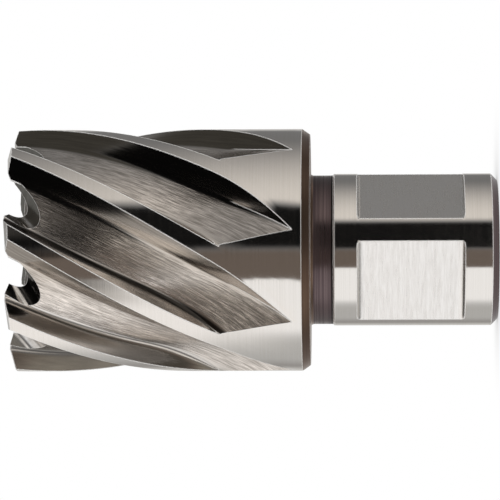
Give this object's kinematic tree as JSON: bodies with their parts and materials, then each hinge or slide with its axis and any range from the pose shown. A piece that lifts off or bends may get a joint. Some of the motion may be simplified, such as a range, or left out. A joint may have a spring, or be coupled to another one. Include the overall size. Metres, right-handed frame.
{
  "type": "annular cutter",
  "caption": "One-piece annular cutter: a tube with helical flutes and ground cutting teeth on a round driving shank with flats, which cuts a round hole and leaves a slug.",
  "frame": {"origin": "centre of the shank's end face, on which the cutter stands", "axes": "+Z along the tool axis from the shank to the teeth; the two driving flats face -Y and +X"},
  "size_m": [0.0304, 0.0304, 0.061],
  "materials": {
    "steel": "bright ground and milled tool steel"
  },
  "bodies": {
    "root": {"cutter": "steel"}
  },
  "joints": []
}
